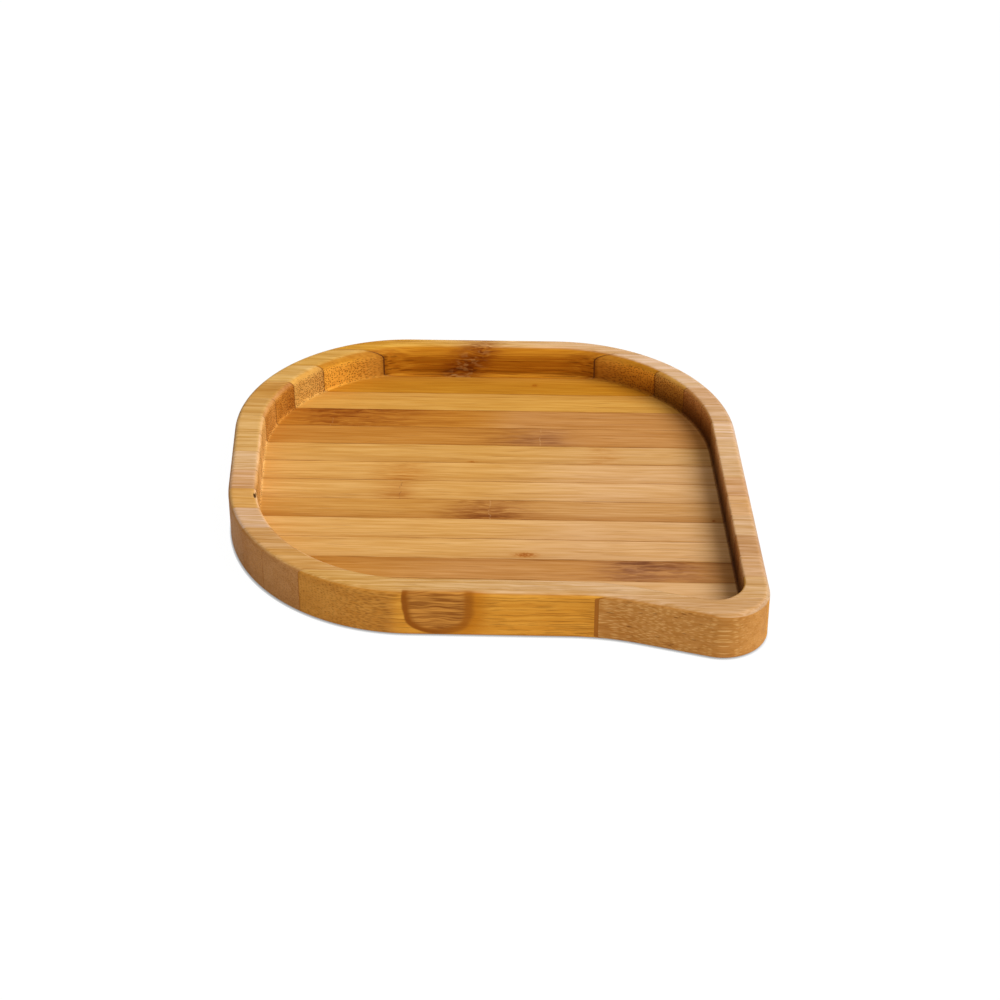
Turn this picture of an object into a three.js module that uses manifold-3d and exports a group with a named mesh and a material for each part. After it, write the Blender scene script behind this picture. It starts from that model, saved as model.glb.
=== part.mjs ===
// Bamboo serving tray: a drop-shaped dish milled out of an edge-glued board of full-height bamboo staves.
// Millimetres. +Z is up, +X runs along the staves, and the origin is the middle of the footprint.

import * as THREE from 'three';
import { mergeVertices } from 'three/addons/utils/BufferGeometryUtils.js';
import Module from 'manifold-3d';

// The board: staves side by side, counted from the back edge
const STAVE_PITCH = 10; // one stave and one glue line
const BACK_STAVE_DEPTH = 8.25; // back edge to the middle of the first glue line
const SHORTEST_TIP_STAVE = 4; // a last stave shallower than this is left joined to the one before it
const GLUE_THICKNESS = 0.15;

// The outer outline, seen from above: four sides, with the front side flaring out into the tip
const TRAY_HEIGHT = 15;
const SIDE_SPACING = 152.1; // left side to right side, measured along the lean line
const LEAN_LINE = 73; // back edge to the line where the side spacing is measured
const BODY_DEPTH = 137.9; // back edge to the straight front edge
const LEFT_LEAN = THREE.MathUtils.degToRad(3.2); // the left side runs in towards the front
const RIGHT_LEAN = THREE.MathUtils.degToRad(3.9); // the right side runs out towards the tip
const FLARE_ANGLE = THREE.MathUtils.degToRad(15.9); // front edge to the edge that runs out to the tip
const FLARE_SETBACK = 40.9; // right side to the start of the flare, measured along the lean line

// Corner radii of the outer outline
const BACK_LEFT_RADIUS = 51;
const BACK_RIGHT_RADIUS = 55;
const TIP_RADIUS = 13;
const FLARE_RADIUS = 71;
const FRONT_LEFT_RADIUS = 56;

// The recess
const FLOOR_THICKNESS = 5.4;
const BACK_RIM = 6.6;
const RIGHT_RIM = 6.7;
const FRONT_RIM = 7;
const LEFT_RIM = 8.4;
const RECESS_TIP_RADIUS = 8.6;
const RECESS_BACK_LEFT_RADIUS = 46;

// Eased edges
const OUTER_TOP_EASE = 1.5;
const INNER_TOP_EASE = 1.3;
const RIGHT_INNER_TOP_EASE = 0.6; // the rim's inner edge is sharper along the right side
const BACK_INNER_TOP_EASE = 3.3; // and rounder along the back
const BOTTOM_EASE = 1;
const FLOOR_COVE = 0.8;

// Fineness of the curves
const LARGE_CORNER_STEPS = 16;
const TIP_STEPS = 12;
const FLARE_STEPS = 6;
const EASE_STEPS = 4;

// How far a cutting slab reaches past the tray
const SLAB_MARGIN = 5;

// Tones of the staves from the back to the tip
const PALE = 0xdcae68;
const GOLD = 0xd09a4c;
const AMBER = 0xb9772f;
const BROWN = 0xa8743c;
const STAVE_TONES = [
  AMBER, GOLD, PALE, BROWN, BROWN, PALE, PALE, PALE, BROWN, PALE, GOLD, BROWN, PALE, PALE, AMBER,
];
const GLUE_TONE = 0x5f3d1c;
const BAMBOO_ROUGHNESS = 0.5;
const GLUE_ROUGHNESS = 0.4;

const wasm = await Module();
wasm.setup();

// Corners of the outer outline, anticlockwise from above, with the back edge on y = 0 and x = 0 halfway
// between the two sides. Each corner carries the radius of the arc that rounds it, and where the milling
// cutter leaves another radius in the recess, that too.
function outerCorners() {
  const leftAt = (y) => -SIDE_SPACING / 2 - (y + LEAN_LINE) * Math.tan(LEFT_LEAN);
  const rightAt = (y) => SIDE_SPACING / 2 - (y + LEAN_LINE) * Math.tan(RIGHT_LEAN);
  const flareStart = SIDE_SPACING / 2 - FLARE_SETBACK;
  const flareSlope = Math.tan(FLARE_ANGLE);
  const leanSlope = Math.tan(RIGHT_LEAN);
  const run = SIDE_SPACING / 2 - LEAN_LINE * leanSlope - flareStart;
  const tipY = (-BODY_DEPTH - run * flareSlope) / (1 - leanSlope * flareSlope);
  return [
    {
      x: leftAt(0),
      y: 0,
      radius: BACK_LEFT_RADIUS,
      recessRadius: RECESS_BACK_LEFT_RADIUS,
      steps: LARGE_CORNER_STEPS,
    },
    { x: leftAt(-BODY_DEPTH), y: -BODY_DEPTH, radius: FRONT_LEFT_RADIUS, steps: LARGE_CORNER_STEPS },
    { x: flareStart, y: -BODY_DEPTH, radius: FLARE_RADIUS, steps: FLARE_STEPS },
    { x: rightAt(tipY), y: tipY, radius: TIP_RADIUS, recessRadius: RECESS_TIP_RADIUS, steps: TIP_STEPS },
    { x: rightAt(0), y: 0, radius: BACK_RIGHT_RADIUS, steps: LARGE_CORNER_STEPS },
  ];
}

// Unit direction of the side that leaves corner i.
function sideDirection(corners, i) {
  const from = corners[i];
  const to = corners[(i + 1) % corners.length];
  return new THREE.Vector2(to.x - from.x, to.y - from.y).normalize();
}

// +1 at a corner that bulges out, -1 at one that turns in.
function cornerTurn(corners, i) {
  const before = sideDirection(corners, (i + corners.length - 1) % corners.length);
  return Math.sign(before.cross(sideDirection(corners, i)));
}

// Moves side i in by insets[i] and puts the corners where the moved sides meet. An arc keeps its centre, so
// its radius shrinks at a corner that bulges out and grows at one that turns in.
function insetCorners(corners, insets) {
  const count = corners.length;
  const sides = corners.map((corner, i) => {
    const along = sideDirection(corners, i);
    const inward = new THREE.Vector2(-along.y, along.x);
    const start = new THREE.Vector2(corner.x, corner.y).addScaledVector(inward, insets[i]);
    return { start, along };
  });
  return corners.map((corner, i) => {
    const before = (i + count - 1) % count;
    const apart = sides[i].start.clone().sub(sides[before].start);
    const reach = apart.cross(sides[i].along) / sides[before].along.cross(sides[i].along);
    const meet = sides[before].start.clone().addScaledVector(sides[before].along, reach);
    const inset = (insets[before] + insets[i]) / 2;
    const radius = corner.radius - cornerTurn(corners, i) * inset;
    return { ...corner, x: meet.x, y: meet.y, radius };
  });
}

// The recess follows the outline at each side's own rim width, with the cutter's own radius where a corner
// has one.
function recessCorners(corners) {
  const rims = [LEFT_RIM, FRONT_RIM, FRONT_RIM, RIGHT_RIM, BACK_RIM];
  return insetCorners(corners, rims).map((corner) => {
    return { ...corner, radius: corner.recessRadius ?? corner.radius };
  });
}

// Points of an outline: at each corner an arc that touches both of its sides. heights[i] is the level of the
// side that leaves corner i, and an arc runs evenly from one side's level to the next one's.
function outlinePoints(corners, heights) {
  return corners.flatMap((corner, i) => {
    const last = (i + corners.length - 1) % corners.length;
    const before = sideDirection(corners, last);
    const after = sideDirection(corners, i);
    const turn = Math.atan2(before.cross(after), before.dot(after));
    const side = Math.sign(turn);
    const tangent = corner.radius * Math.tan(Math.abs(turn) / 2);
    const centre = new THREE.Vector2(corner.x, corner.y)
      .addScaledVector(before, -tangent)
      .add(new THREE.Vector2(-before.y, before.x).multiplyScalar(side * corner.radius));
    const first = Math.atan2(-side * before.x, side * before.y);
    const points = [];
    for (let step = 0; step <= corner.steps; step += 1) {
      const share = step / corner.steps;
      const angle = first + turn * share;
      const x = centre.x + corner.radius * Math.cos(angle);
      const y = centre.y + corner.radius * Math.sin(angle);
      points.push(new THREE.Vector3(x, y, THREE.MathUtils.lerp(heights[last], heights[i], share)));
    }
    return points;
  });
}

// Quarter-turn angles of an eased edge, first to last.
function easeAngles() {
  return Array.from({ length: EASE_STEPS + 1 }, (_, step) => (step / EASE_STEPS) * (Math.PI / 2));
}

// The rings of the tray's skin, from the edge of its underside, up the outer wall, over the rim and down the
// inner wall to the edge of the floor.
function trayRings(outline, recess) {
  const innerEases = [
    INNER_TOP_EASE, INNER_TOP_EASE, INNER_TOP_EASE, RIGHT_INNER_TOP_EASE, BACK_INNER_TOP_EASE,
  ];
  const evenly = (value) => outline.map(() => value);
  const ring = (corners, insets, heights) => outlinePoints(insetCorners(corners, insets), heights);
  const lowerEdge = easeAngles().map((a) => {
    return ring(outline, evenly(BOTTOM_EASE * (1 - Math.sin(a))), evenly(BOTTOM_EASE * (1 - Math.cos(a))));
  });
  const outerEdge = easeAngles().map((a) => {
    const drop = OUTER_TOP_EASE * (1 - Math.sin(a));
    return ring(outline, evenly(OUTER_TOP_EASE * (1 - Math.cos(a))), evenly(TRAY_HEIGHT - drop));
  });
  const innerEdge = easeAngles().map((a) => {
    const insets = innerEases.map((ease) => ease * (Math.sin(a) - 1));
    return ring(recess, insets, innerEases.map((ease) => TRAY_HEIGHT - ease * (1 - Math.cos(a))));
  });
  const floorEdge = easeAngles().map((a) => {
    const rise = FLOOR_COVE * (1 - Math.sin(a));
    return ring(recess, evenly(FLOOR_COVE * (1 - Math.cos(a))), evenly(FLOOR_THICKNESS + rise));
  });
  return [...lowerEdge, ...outerEdge, ...innerEdge, ...floorEdge];
}

// One closed skin: each ring is joined to the next, and the first and last rings are capped flat.
function loftRings(rings) {
  const count = rings[0].length;
  const positions = rings.flatMap((points) => points.flatMap((point) => point.toArray()));
  const index = [];
  for (let ring = 0; ring + 1 < rings.length; ring += 1) {
    for (let i = 0; i < count; i += 1) {
      const a = ring * count + i;
      const b = ring * count + ((i + 1) % count);
      index.push(a, b, b + count, a, b + count, a + count);
    }
  }
  const lastRing = (rings.length - 1) * count;
  for (const [a, b, c] of THREE.ShapeUtils.triangulateShape(rings[0], [])) {
    index.push(a, c, b);
  }
  for (const [a, b, c] of THREE.ShapeUtils.triangulateShape(rings[rings.length - 1], [])) {
    index.push(lastRing + a, lastRing + b, lastRing + c);
  }
  const geometry = new THREE.BufferGeometry();
  geometry.setAttribute('position', new THREE.Float32BufferAttribute(positions, 3));
  geometry.setIndex(index);
  return geometry;
}

function toSolid(geometry) {
  const bare = geometry.clone();
  bare.deleteAttribute('normal');
  bare.deleteAttribute('uv');
  const merged = mergeVertices(bare);
  const vertProperties = new Float32Array(merged.attributes.position.array);
  const triVerts = new Uint32Array(merged.index.array);
  return new wasm.Manifold(new wasm.Mesh({ numProp: 3, vertProperties, triVerts }));
}

function toGeometry(solid) {
  const { vertProperties, triVerts } = solid.getMesh();
  const geometry = new THREE.BufferGeometry();
  geometry.setAttribute('position', new THREE.BufferAttribute(vertProperties, 3));
  geometry.setIndex(new THREE.BufferAttribute(triVerts, 1));
  geometry.computeVertexNormals();
  return geometry;
}

// The part of the tray between two depths, front and back.
function sliceTray(tray, box, front, back) {
  const size = box.getSize(new THREE.Vector3()).addScalar(2 * SLAB_MARGIN);
  const middle = box.getCenter(new THREE.Vector3());
  const slab = new THREE.BoxGeometry(size.x, back - front, size.z);
  slab.translate(middle.x, (front + back) / 2, middle.z);
  return toGeometry(tray.intersect(toSolid(slab)));
}

// Middle of each glue line, from the back of the tray to the front.
function glueLineDepths(box) {
  const first = box.max.y - BACK_STAVE_DEPTH;
  const spare = first - SHORTEST_TIP_STAVE - box.min.y;
  const count = Math.floor(spare / STAVE_PITCH) + 1;
  return Array.from({ length: count }, (_, i) => first - i * STAVE_PITCH);
}

function addPiece(group, name, geometry, color, roughness) {
  const material = new THREE.MeshStandardMaterial({ color, roughness, metalness: 0, flatShading: true });
  const mesh = new THREE.Mesh(geometry, material);
  mesh.name = name;
  group.add(mesh);
}

function staveName(i, count) {
  if (i === 0) return 'stave_back';
  if (i === count - 1) return 'stave_tip';
  return `stave_${String(i + 1).padStart(2, '0')}`;
}

const outline = outerCorners();
const skin = loftRings(trayRings(outline, recessCorners(outline)));
skin.computeBoundingBox();
const footprint = skin.boundingBox.getCenter(new THREE.Vector3());
skin.translate(-footprint.x, -footprint.y, 0);
skin.computeBoundingBox();

const tray = toSolid(skin);
const glueLines = glueLineDepths(skin.boundingBox);
const backEnd = skin.boundingBox.max.y + SLAB_MARGIN;
const tipEnd = skin.boundingBox.min.y - SLAB_MARGIN;
const halfGlue = GLUE_THICKNESS / 2;
const staveCount = glueLines.length + 1;

const group = new THREE.Group();
group.name = 'bamboo_serving_tray';
for (let i = 0; i < staveCount; i += 1) {
  const back = i === 0 ? backEnd : glueLines[i - 1] - halfGlue;
  const front = i === staveCount - 1 ? tipEnd : glueLines[i] + halfGlue;
  const geometry = sliceTray(tray, skin.boundingBox, front, back);
  addPiece(group, staveName(i, staveCount), geometry, STAVE_TONES[i % STAVE_TONES.length], BAMBOO_ROUGHNESS);
}
glueLines.forEach((depth, i) => {
  const geometry = sliceTray(tray, skin.boundingBox, depth - halfGlue, depth + halfGlue);
  addPiece(group, `glue_line_${String(i + 1).padStart(2, '0')}`, geometry, GLUE_TONE, GLUE_ROUGHNESS);
});

export default group;
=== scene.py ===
"""Looks of a small drop-shaped serving tray, milled from a board of edge-glued bamboo staves.

One fine skin of the whole tray is worked out with numpy from the sizes of the solids. It is cut at
the glue planes into the staves and the glue films between them, and each piece stands for its solid.
"""
import logging
import math
from dataclasses import dataclass, field, fields
from enum import Enum
from typing import Optional, Union

import bmesh
import bpy
import numpy as np
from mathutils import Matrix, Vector


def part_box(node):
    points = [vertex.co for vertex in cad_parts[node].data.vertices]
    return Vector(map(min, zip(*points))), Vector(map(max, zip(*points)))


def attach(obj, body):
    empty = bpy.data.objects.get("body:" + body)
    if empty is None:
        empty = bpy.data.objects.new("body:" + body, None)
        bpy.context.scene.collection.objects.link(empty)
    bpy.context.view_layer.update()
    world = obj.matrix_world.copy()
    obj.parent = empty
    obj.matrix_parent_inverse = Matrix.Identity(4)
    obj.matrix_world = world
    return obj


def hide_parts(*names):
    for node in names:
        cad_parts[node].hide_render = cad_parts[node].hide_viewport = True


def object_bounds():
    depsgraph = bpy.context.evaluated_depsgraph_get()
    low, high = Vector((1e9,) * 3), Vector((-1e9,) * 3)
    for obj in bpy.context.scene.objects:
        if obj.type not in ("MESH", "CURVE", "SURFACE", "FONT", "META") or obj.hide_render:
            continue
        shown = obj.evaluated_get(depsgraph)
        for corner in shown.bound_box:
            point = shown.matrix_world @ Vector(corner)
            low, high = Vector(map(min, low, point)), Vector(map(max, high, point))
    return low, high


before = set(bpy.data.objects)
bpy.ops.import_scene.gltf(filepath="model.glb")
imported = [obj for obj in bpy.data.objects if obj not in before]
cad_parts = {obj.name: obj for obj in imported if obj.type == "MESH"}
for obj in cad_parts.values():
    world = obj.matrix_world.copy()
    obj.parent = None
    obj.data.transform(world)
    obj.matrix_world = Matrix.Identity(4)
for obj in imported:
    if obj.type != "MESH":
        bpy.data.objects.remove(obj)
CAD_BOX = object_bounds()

MM = 0.001
LOG = logging.getLogger("tray")
END_GRAIN = "end_grain"
CHIPPED = "chipped"
OIL = "oil"
OUTSIDE = "outside"

Socket = bpy.types.NodeSocket
Value = Union[Socket, float, tuple]


def linear(tone: int) -> tuple[float, float, float, float]:
    """Turns a display colour into the linear colour that a shader takes, by the sRGB curve.

    Args:
        tone: the colour as 0xRRGGBB, as it looks on a screen.

    Returns:
        Red, green, blue and an alpha of one.
    """
    parts = np.array([tone >> 16 & 255, tone >> 8 & 255, tone & 255]) / 255
    low = parts / 12.92
    high = ((parts + 0.055) / 1.055) ** 2.4
    red, green, blue = np.where(parts <= 0.04045, low, high)
    return float(red), float(green), float(blue), 1.0


def cross(a: np.ndarray, b: np.ndarray) -> np.ndarray:
    """Gives the plan cross product of rows of 2-D vectors: positive where b turns left of a."""
    return a[..., 0] * b[..., 1] - a[..., 1] * b[..., 0]


def headings(points: np.ndarray) -> np.ndarray:
    """Gives the unit vector from each plan point to the next one round."""
    along = np.roll(points, -1, axis=0) - points
    return along / np.linalg.norm(along, axis=1, keepdims=True)


def turned_left(vectors: np.ndarray) -> np.ndarray:
    """Turns rows of plan vectors a quarter turn to the left."""
    return np.stack([-vectors[:, 1], vectors[:, 0]], axis=1)


def new_object(name: str, data: bpy.types.ID) -> bpy.types.Object:
    """Makes an object and links it to the scene.

    Args:
        name: the object's name.
        data: its mesh, light or camera.

    Returns:
        The new object.
    """
    made = bpy.data.objects.new(name, data)
    bpy.context.scene.collection.objects.link(made)
    return made


@dataclass(frozen=True)
class Outline:
    """The tray's plan: five straight sides that lean and flare, with an arc at each meeting.

    Sides run anticlockwise from the back left corner: left, front, flare, right, back.
    """

    side_spacing: float = 152.1 * MM
    lean_line: float = 73.0 * MM
    body_depth: float = 137.9 * MM
    left_lean: float = math.radians(3.2)
    right_lean: float = math.radians(3.9)
    flare_angle: float = math.radians(15.9)
    flare_setback: float = 40.9 * MM
    radii: tuple[float, ...] = (51.0 * MM, 56.0 * MM, 71.0 * MM, 13.0 * MM, 55.0 * MM)
    rims: tuple[float, ...] = (8.4 * MM, 7.0 * MM, 7.0 * MM, 6.7 * MM, 6.6 * MM)
    recess_back_left_radius: float = 46.0 * MM
    recess_tip_radius: float = 8.6 * MM
    arc_steps: tuple[int, ...] = (56, 64, 32, 40, 56)
    side_steps: tuple[int, ...] = (90, 40, 40, 60, 40)

    def corners(self, insets: tuple[float, ...]) -> np.ndarray:
        """Finds the points where neighbouring sides meet once each side has moved inwards.

        A side's line is pushed along its inward normal, and a corner is where the line before it and
        its own line cross.

        Args:
            insets: how far each of the five sides moves inwards.

        Returns:
            Five plan points, back edge on y = 0.
        """
        lean_l, lean_r = math.tan(self.left_lean), math.tan(self.right_lean)
        flare, half = math.tan(self.flare_angle), self.side_spacing / 2
        flare_x = half - self.flare_setback
        run = half - self.lean_line * lean_r - flare_x
        tip_y = (-self.body_depth - run * flare) / (1 - lean_r * flare)
        y = np.array([0, -self.body_depth, -self.body_depth, tip_y, 0])
        left = -half - (y + self.lean_line) * lean_l
        right = half - (y + self.lean_line) * lean_r
        x = np.array([left[0], left[1], flare_x, right[3], right[4]])
        points = np.stack([x, y], axis=1)
        along = headings(points)
        start = points + turned_left(along) * np.array(insets)[:, None]
        before, start_before = np.roll(along, 1, axis=0), np.roll(start, 1, axis=0)
        reach = cross(start - start_before, along) / cross(before, along)
        return start_before + before * reach[:, None]

    def trace(self, insets: tuple[float, ...], radii: tuple[float, ...]) -> tuple[np.ndarray, np.ndarray]:
        """Walks round the plan: an arc tangent to both sides at each corner, then a straight run.

        Args:
            insets: how far each side lies inside the outer plan.
            radii: the arc radius at each corner.

        Returns:
            Plan points in order, and the unit normal into the tray's plan at each of them.
        """
        points = self.corners(insets)
        along = headings(points)
        inward = turned_left(along)
        before = np.roll(along, 1, axis=0)
        turn = np.arctan2(cross(before, along), (before * along).sum(axis=1))
        bend = np.sign(turn)
        radius = np.array(radii)
        cut = radius * np.tan(np.abs(turn) / 2)
        first = points - before * cut[:, None]
        last = points + along * cut[:, None]
        middle = first + turned_left(before) * (bend * radius)[:, None]
        path, normals = [], []
        for i in range(len(points)):
            angle = np.linspace(0, turn[i], self.arc_steps[i])
            spoke = first[i] - middle[i]
            arm = np.stack([np.cos(angle) * spoke[0] - np.sin(angle) * spoke[1],
                            np.sin(angle) * spoke[0] + np.cos(angle) * spoke[1]], axis=1)
            share = np.linspace(0, 1, self.side_steps[i] + 2)[1:-1, None]
            following = first[(i + 1) % len(points)]
            path += [middle[i] + arm, last[i] + (following - last[i]) * share]
            normals += [-bend[i] * arm / radius[i], np.tile(inward[i], (self.side_steps[i], 1))]
        return np.concatenate(path), np.concatenate(normals)

    def spread(self, values: tuple[float, ...]) -> np.ndarray:
        """Spreads one value per side over the plan's points.

        Args:
            values: the value along each of the five sides.

        Returns:
            One value per point: constant along a side, and changing evenly round the arc before it.
        """
        spans = []
        for i, value in enumerate(values):
            bend = np.linspace(values[i - 1], value, self.arc_steps[i])
            spans += [bend, np.full(self.side_steps[i], value)]
        return np.concatenate(spans)

    def outer(self) -> tuple[np.ndarray, np.ndarray]:
        """Gives the outer plan's points and inward normals."""
        return self.trace((0.0,) * 5, self.radii)

    def recess(self) -> tuple[np.ndarray, np.ndarray]:
        """Gives the recess plan's points and inward normals.

        Its arcs are smaller than the outer ones by the rim, and larger where the plan bends the other way.

        Returns:
            The same number of points as the outer plan, so that the two can be joined by rings.
        """
        rims = np.array(self.rims)
        mean = (rims + np.roll(rims, 1)) / 2
        radii = np.array(self.radii) + np.array([-1, -1, 1, -1, -1]) * mean
        radii[0] = self.recess_back_left_radius
        radii[3] = self.recess_tip_radius
        return self.trace(self.rims, tuple(radii))


@dataclass(frozen=True)
class RimChip:
    """A splinter torn from the rim's inner edge: a smooth bowl pressed into the skin."""

    place: tuple[float, float, float]
    reach: tuple[float, float, float]
    push: tuple[float, float, float]

    def bowl(self, points: np.ndarray) -> np.ndarray:
        """Gives the bowl's depth share: (1 - d^2)^2 inside an ellipsoid of the chip's reach, else 0."""
        away = (points - np.array(self.place)) / np.array(self.reach)
        return np.clip(1 - (away ** 2).sum(axis=-1), 0, 1) ** 2

    def press(self, points: np.ndarray) -> np.ndarray:
        """Moves points of the skin into the wood by the bowl's share of the push."""
        return points + self.bowl(points)[..., None] * np.array(self.push)


@dataclass
class TraySkin:
    """The tray's whole surface: a profile of rings carried round the outline."""

    outline: Outline = field(default_factory=Outline)
    height: float = 15.0 * MM
    floor: float = 5.4 * MM
    outer_ease: float = 1.5 * MM
    inner_eases: tuple[float, ...] = (1.3 * MM, 1.3 * MM, 1.3 * MM, 0.6 * MM, 3.3 * MM)
    bottom_ease: float = 1.0 * MM
    cove: float = 0.8 * MM
    hold: float = 0.5 * MM
    ease_steps: int = 8
    wall_steps: int = 7
    rim_steps: int = 9
    outer_wear: tuple[float, ...] = (1.0, 1.0, 1.0, 8.0, 1.0)
    # Painted shade on each side's wall, darkest at its foot: only the right wall has any.
    wall_oil: tuple[float, ...] = (0.0, 0.0, 0.0, 1.7, 0.0)
    chips: tuple[RimChip, ...] = (
        RimChip((-67.5 * MM, -16.4 * MM, 14.3 * MM), (1.2 * MM, 1.7 * MM, 1.5 * MM),
                (-0.7 * MM, 0.0, -0.7 * MM)),
        RimChip((-68.3 * MM, -18.3 * MM, 14.8 * MM), (0.8 * MM, 1.5 * MM, 1.0 * MM),
                (-0.3 * MM, 0.0, -0.5 * MM)),
    )

    def quarter(self) -> tuple[np.ndarray, np.ndarray, np.ndarray]:
        """Gives the sines and cosines of a quarter turn, and the shares that split a wall, as columns."""
        turn = np.linspace(0, math.pi / 2, self.ease_steps)[:, None]
        return np.sin(turn), np.cos(turn), np.linspace(0, 1, self.wall_steps + 2)[1:-1, None]

    @staticmethod
    def carry(plan: tuple[np.ndarray, np.ndarray], inset: np.ndarray, rise: np.ndarray) -> np.ndarray:
        """Moves plan points along their inward normals by each ring's insets, at the ring's heights."""
        points, inward = plan
        return np.concatenate([points + inward * inset[..., None], rise[..., None]], axis=2)

    def outer_rings(self) -> tuple[np.ndarray, np.ndarray]:
        """Carries the outer profile round the plan: eased lower edge, wall and eased edge of the rim.

        The edges are quarter circles. One ring inside the underside keeps the rounding from tilting the
        shading of the flat.

        Returns:
            Rings by plan points by x, y, z, from below, and the outer finish at each point: full on the
            wall, and worn off up the eased edge by a power of the height that is left, side by side.
        """
        plan = self.outline.outer()
        sine, cosine, share = self.quarter()
        even = np.ones((1, len(plan[0])))
        low, high = self.bottom_ease, self.height - self.outer_ease
        inset = [(low + self.hold) * even, low * (1 - sine) * even, 0 * share * even,
                 self.outer_ease * (1 - cosine) * even]
        rise = [0 * even, low * (1 - cosine) * even, (low + (high - low) * share) * even,
                (high + self.outer_ease * sine) * even]
        height = np.concatenate(rise)
        left = np.clip((self.height - height) / self.outer_ease, 0, 1)
        return self.carry(plan, np.concatenate(inset), height), left ** self.outline.spread(self.outer_wear)

    def inner_rings(self) -> tuple[np.ndarray, np.ndarray]:
        """Carries the recess profile round the plan: the rim's inner edge, the wall and the cove.

        The inner edge is a quarter circle whose radius changes round the recess.

        Returns:
            Rings by plan points by x, y, z, down to the floor, and the oil at each point: 1 in the
            recess and gone at the rim's flat. Above 1 it carries painted shade, deepest at the foot of the
            right wall and fading round its cove.
        """
        plan = self.outline.recess()
        sine, cosine, share = self.quarter()
        ease = self.outline.spread(self.inner_eases)[None]
        even = np.ones_like(ease)
        top, bottom = self.height - ease, self.floor + self.cove
        inset = [ease * (sine - 1), 0 * share * even, self.cove * (1 - cosine) * even,
                 (self.cove + self.hold) * even]
        rise = [top + ease * cosine, top + (bottom - top) * share, (bottom - self.cove * sine) * even,
                self.floor * even]
        # Painted shade: the oil runs above 1 down the right wall and round its cove.
        more = self.outline.spread(self.wall_oil)[None]
        oil = [np.sqrt(1 - cosine) * even, 1 + more * share, 1 + more * cosine, even]
        return self.carry(plan, np.concatenate(inset), np.concatenate(rise)), np.concatenate(oil)

    def rings(self) -> tuple[np.ndarray, np.ndarray, np.ndarray]:
        """Joins the outer and inner rings over the rim.

        The flat of the rim is blended straight from the last outer ring to the first inner one, and is
        bare.

        Returns:
            An array of rings by plan points by x, y, z, in the frame of the solids, then the recess's oil,
            which carries painted shade above 1, and the outer finish at each point.
        """
        outer, finish = self.outer_rings()
        inner, oil = self.inner_rings()
        share = np.linspace(0, 1, self.rim_steps + 2)[1:-1, None, None]
        rim = outer[-1] + (inner[0] - outer[-1]) * share
        grid = np.concatenate([outer, rim, inner])
        across = grid[..., 0]
        grid[..., 0] -= (across.min() + across.max()) / 2
        grid[..., 1] += CAD_BOX[1][1]
        bare = np.zeros(rim.shape[:2])
        return grid, np.concatenate([0 * finish, bare, oil]), np.concatenate([finish, bare, 0 * oil])

    @staticmethod
    def normals(grid: np.ndarray) -> np.ndarray:
        """Works out normals: the cross product of the grid's slopes round and up the skin.

        Args:
            grid: rings by plan points by x, y, z.

        Returns:
            The outward unit normal at each point.
        """
        around = np.roll(grid, -1, axis=1) - np.roll(grid, 1, axis=1)
        upward = np.gradient(grid, axis=0)
        facing = np.cross(around, upward)
        return facing / np.linalg.norm(facing, axis=2, keepdims=True)

    def mesh(self, name: str, sink: float = 0.0) -> bpy.types.Mesh:
        """Makes the closed skin as a mesh, with its end grain, finishes, painted shade and chip marks as
        attributes.

        Args:
            name: the mesh's name.
            sink: how far the skin lies below the milled surface.

        Returns:
            Quads between rings, and one flat face that closes each end.
        """
        grid, oil, outside = self.rings()
        facing = self.normals(grid)
        end_grain = np.abs(facing[..., 0])
        chipped = np.max([chip.bowl(grid) for chip in self.chips], axis=0)
        for chip in self.chips:
            grid = chip.press(grid)
        grid = grid - facing * sink
        count, around = grid.shape[:2]
        index = np.arange(count * around).reshape(count, around)
        after = np.roll(index, -1, axis=1)
        quads = np.stack([index[:-1], after[:-1], after[1:], index[1:]], axis=-1).reshape(-1, 4)
        faces = quads.tolist() + [index[0, ::-1].tolist(), index[-1].tolist()]
        mesh = bpy.data.meshes.new(name)
        mesh.from_pydata(grid.reshape(-1, 3), [], faces)
        for key, values in ((END_GRAIN, end_grain), (CHIPPED, chipped), (OIL, oil), (OUTSIDE, outside)):
            layer = mesh.attributes.new(key, "FLOAT", "POINT")
            layer.data.foreach_set("value", values.astype(np.float32).ravel())
        mesh.validate()
        return mesh


@dataclass(frozen=True)
class Mottle:
    """Noise sharpened into patches: their size along x, y and z, and where they start and are full."""

    size: tuple[float, float, float]
    edge: tuple[float, float]
    detail: float = 1.0


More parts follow.
